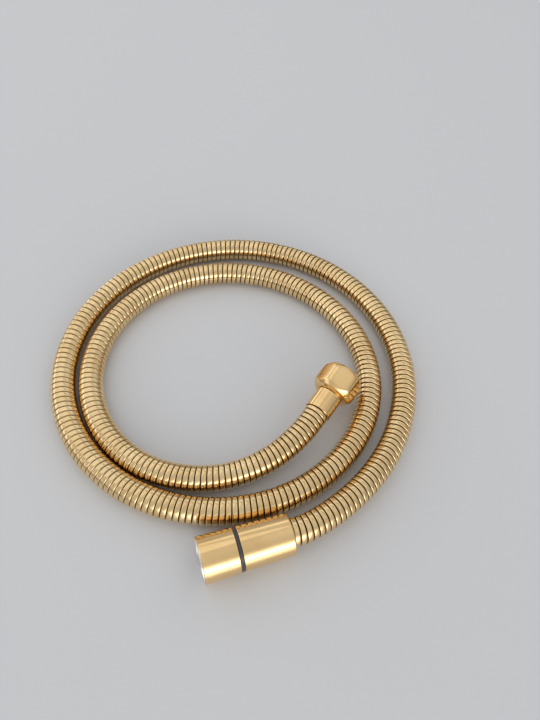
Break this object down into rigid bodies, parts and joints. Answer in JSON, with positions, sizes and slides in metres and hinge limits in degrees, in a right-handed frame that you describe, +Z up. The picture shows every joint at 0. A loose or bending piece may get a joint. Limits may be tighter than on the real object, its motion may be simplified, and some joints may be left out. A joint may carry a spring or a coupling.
{
  "type": "flexible shower hose",
  "caption": "Loosely coiled strip-wound metal shower hose with a tapered swivel fitting on one end and a hexagon union nut on the other.",
  "frame": {"origin": "on the table plane, under the middle of the bounding box of the coiled hose", "axes": "+Z up from the table the coil lies on; +X and +Y in the table plane, with the tapered fitting at the -Y side"},
  "size_m": [0.2306, 0.2536, 0.0323],
  "materials": {
    "gold_fitting": "polished gold-coloured plating",
    "gold_sheath": "polished gold-coloured strip",
    "bare_brass": "machined brass",
    "spring_steel": "spring steel",
    "dark_polymer": "satin acetal",
    "white_polymer": "satin acetal",
    "rubber": "matt elastomer"
  },
  "bodies": {
    "hose_root": {"hose_seg_01": "gold_sheath", "hose_seg_02": "gold_sheath", "inner_tube": "rubber"},
    "swivel_housing": {"cone_housing": "gold_fitting", "hose_tail_b": "bare_brass", "grip_bush": "white_polymer", "hose_end_b": "gold_sheath", "swivel_ring": "dark_polymer"},
    "swivel_spigot": {"swivel_spigot": "bare_brass", "spigot_o_rings": "rubber", "retaining_clip": "spring_steel", "thrust_washer": "white_polymer", "cone_nut_washer": "rubber"},
    "cone_nut": {"cone_nut": "gold_fitting"},
    "hose_arc_02": {"hose_seg_03": "gold_sheath", "hose_seg_04": "gold_sheath", "hose_seg_05": "gold_sheath"},
    "hose_arc_03": {"hose_seg_06": "gold_sheath", "hose_seg_07": "gold_sheath", "hose_seg_08": "gold_sheath"},
    "hose_arc_04": {"hose_seg_09": "gold_sheath", "hose_seg_10": "gold_sheath", "hose_seg_11": "gold_sheath"},
    "hose_arc_05": {"hose_seg_12": "gold_sheath", "hose_seg_13": "gold_sheath", "hose_seg_14": "gold_sheath"},
    "hose_arc_06": {"hose_seg_15": "gold_sheath", "hose_seg_16": "gold_sheath", "hose_seg_17": "gold_sheath"},
    "hose_arc_07": {"hose_seg_18": "gold_sheath", "hose_seg_19": "gold_sheath", "hose_seg_20": "gold_sheath"},
    "hose_arc_08": {"hose_seg_21": "gold_sheath", "hose_seg_22": "gold_sheath", "hose_seg_23": "gold_sheath"},
    "hose_arc_09": {"hose_seg_24": "gold_sheath", "hose_seg_25": "gold_sheath", "hose_seg_26": "gold_sheath"},
    "hose_arc_10": {"hose_seg_27": "gold_sheath", "hose_seg_28": "gold_sheath", "hose_seg_29": "gold_sheath"},
    "hose_arc_11": {"hose_seg_30": "gold_sheath", "hose_seg_31": "gold_sheath", "hose_seg_32": "gold_sheath"},
    "hose_arc_12": {"hose_seg_33": "gold_sheath", "hose_seg_34": "gold_sheath", "hose_seg_35": "gold_sheath"},
    "hose_arc_13": {"hose_seg_36": "gold_sheath", "hose_seg_37": "gold_sheath", "hose_seg_38": "gold_sheath"},
    "hose_arc_14": {"hose_seg_39": "gold_sheath", "hose_seg_40": "gold_sheath"},
    "hose_tail": {"hose_end_a": "gold_sheath", "crimp_sleeve": "gold_fitting", "tail_stem": "bare_brass", "hex_nut_washer": "rubber"},
    "slip_ring": {"slip_ring": "white_polymer"},
    "hex_nut": {"hex_nut": "gold_fitting"}
  },
  "joints": [
    {"name": "hose_uncoil", "type": "hinge", "parent": "hose_root", "child": "hose_arc_02", "pos_m": [0.09823, -0.03714, 0.00777], "axis": [0, 0, -1], "range_deg": [0, 18.7], "deforming": ["inner_tube"]},
    {"name": "uncoil_02", "type": "hinge", "parent": "hose_arc_02", "child": "hose_arc_03", "pos_m": [0.09006, 0.06994, 0.0075], "axis": [0, 0, -1], "range_deg": [0, 18.7]},
    {"name": "uncoil_03", "type": "hinge", "parent": "hose_arc_03", "child": "hose_arc_04", "pos_m": [0.00171, 0.1193, 0.0075], "axis": [0, 0, -1], "range_deg": [0, 18.7]},
    {"name": "uncoil_04", "type": "hinge", "parent": "hose_arc_04", "child": "hose_arc_05", "pos_m": [-0.08837, 0.07329, 0.0075], "axis": [0, 0, -1], "range_deg": [0, 18.7]},
    {"name": "uncoil_05", "type": "hinge", "parent": "hose_arc_05", "child": "hose_arc_06", "pos_m": [-0.10085, -0.02551, 0.0075], "axis": [0, 0, -1], "range_deg": [0, 18.7]},
    {"name": "uncoil_06", "type": "hinge", "parent": "hose_arc_06", "child": "hose_arc_07", "pos_m": [-0.03075, -0.08642, 0.0075], "axis": [0, 0, -1], "range_deg": [0, 18.7]},
    {"name": "uncoil_07", "type": "hinge", "parent": "hose_arc_07", "child": "hose_arc_08", "pos_m": [0.05735, -0.06249, 0.0075], "axis": [0, 0, -1], "range_deg": [0, 18.7]},
    {"name": "uncoil_08", "type": "hinge", "parent": "hose_arc_08", "child": "hose_arc_09", "pos_m": [0.08441, 0.01747, 0.0075], "axis": [0, 0, -1], "range_deg": [0, 18.7]},
    {"name": "uncoil_09", "type": "hinge", "parent": "hose_arc_09", "child": "hose_arc_10", "pos_m": [0.03229, 0.085, 0.0075], "axis": [0, 0, -1], "range_deg": [0, 18.7]},
    {"name": "uncoil_10", "type": "hinge", "parent": "hose_arc_10", "child": "hose_arc_11", "pos_m": [-0.04981, 0.08027, 0.0075], "axis": [0, 0, -1], "range_deg": [0, 18.7]},
    {"name": "uncoil_11", "type": "hinge", "parent": "hose_arc_11", "child": "hose_arc_12", "pos_m": [-0.09013, 0.01108, 0.0075], "axis": [0, 0, -1], "range_deg": [0, 18.7]},
    {"name": "uncoil_12", "type": "hinge", "parent": "hose_arc_12", "child": "hose_arc_13", "pos_m": [-0.05818, -0.05743, 0.0075], "axis": [0, 0, -1], "range_deg": [0, 18.7]},
    {"name": "uncoil_13", "type": "hinge", "parent": "hose_arc_13", "child": "hose_arc_14", "pos_m": [0.00715, -0.06638, 0.00823], "axis": [0, 0, -1], "range_deg": [0, 18.7]},
    {"name": "swivel_end_lift", "type": "hinge", "parent": "hose_root", "child": "swivel_housing", "pos_m": [0.04429, -0.09674, 0.01055], "axis": [-0.3496, 0.9369, 0], "range_deg": [0, 25]},
    {"name": "swivel_turn", "type": "hinge", "parent": "swivel_housing", "child": "swivel_spigot", "pos_m": [-0.00716, -0.11594, 0.0118], "axis": [0.9367, 0.3495, -0.0227], "continuous": true},
    {"name": "cone_nut_turn", "type": "hinge", "parent": "swivel_spigot", "child": "cone_nut", "pos_m": [-0.00716, -0.11594, 0.0118], "axis": [0.9367, 0.3495, -0.0227], "continuous": true},
    {"name": "nut_end_lift", "type": "hinge", "parent": "hose_arc_14", "child": "hose_tail", "pos_m": [0.04829, -0.03281, 0.0144], "axis": [0.8447, -0.5352, 0], "range_deg": [0, 25]},
    {"name": "hex_nut_slide", "type": "slide", "parent": "hose_tail", "child": "slip_ring", "axis": [0.5285, 0.8341, 0.158], "range_m": [0, 0.0016]},
    {"name": "hex_nut_turn", "type": "hinge", "parent": "slip_ring", "child": "hex_nut", "pos_m": [0.05169, -0.02744, 0.01542], "axis": [0.5285, 0.8341, 0.158], "continuous": true}
  ],
  "couplings": [
    {"joint": "uncoil_02", "follows": "hose_uncoil", "ratio": 1},
    {"joint": "uncoil_03", "follows": "hose_uncoil", "ratio": 1},
    {"joint": "uncoil_04", "follows": "hose_uncoil", "ratio": 1},
    {"joint": "uncoil_05", "follows": "hose_uncoil", "ratio": 1},
    {"joint": "uncoil_06", "follows": "hose_uncoil", "ratio": 1},
    {"joint": "uncoil_07", "follows": "hose_uncoil", "ratio": 1},
    {"joint": "uncoil_08", "follows": "hose_uncoil", "ratio": 1},
    {"joint": "uncoil_09", "follows": "hose_uncoil", "ratio": 1},
    {"joint": "uncoil_10", "follows": "hose_uncoil", "ratio": 1},
    {"joint": "uncoil_11", "follows": "hose_uncoil", "ratio": 1},
    {"joint": "uncoil_12", "follows": "hose_uncoil", "ratio": 1},
    {"joint": "uncoil_13", "follows": "hose_uncoil", "ratio": 1}
  ]
}
